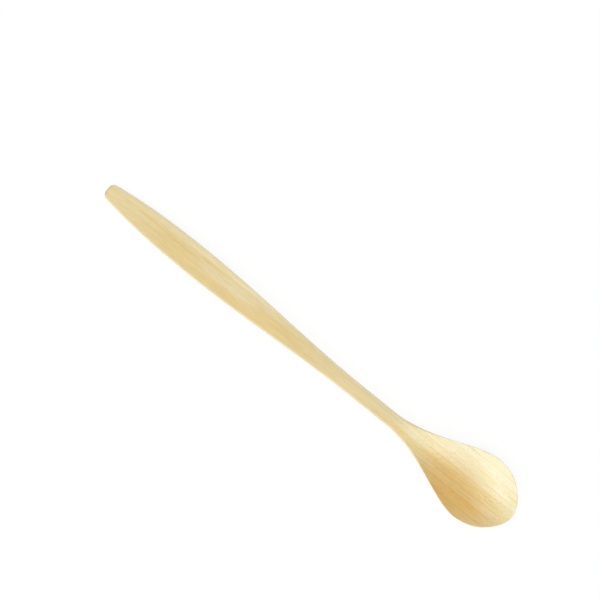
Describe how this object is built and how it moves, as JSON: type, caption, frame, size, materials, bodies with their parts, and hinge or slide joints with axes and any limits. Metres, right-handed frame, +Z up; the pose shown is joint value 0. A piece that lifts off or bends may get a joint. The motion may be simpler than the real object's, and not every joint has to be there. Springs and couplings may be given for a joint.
{
  "type": "bamboo sorbet spoon",
  "caption": "Long slim dessert spoon carved from glued bamboo strips, with a flat swelling handle, a narrow neck and a small pear-shaped bowl.",
  "frame": {"origin": "on the table, under the middle of the spoon: the centre of the bottom of its box", "axes": "+X runs from the handle's end to the tip of the bowl, +Y to the left of that, +Z up, out of the hollow of the bowl"},
  "size_m": [0.19, 0.0268, 0.0111],
  "materials": {
    "golden_bamboo": "sanded satin, unvarnished",
    "straw_bamboo": "sanded satin, unvarnished",
    "pale_bamboo": "sanded satin, unvarnished"
  },
  "bodies": {
    "root": {"centre_strip": "golden_bamboo", "handle_left_strip_1": "straw_bamboo", "handle_right_strip_1": "straw_bamboo", "bowl_left_strip_1": "straw_bamboo", "bowl_right_strip_1": "straw_bamboo", "bowl_left_strip_2": "pale_bamboo", "bowl_right_strip_2": "pale_bamboo"}
  },
  "joints": []
}
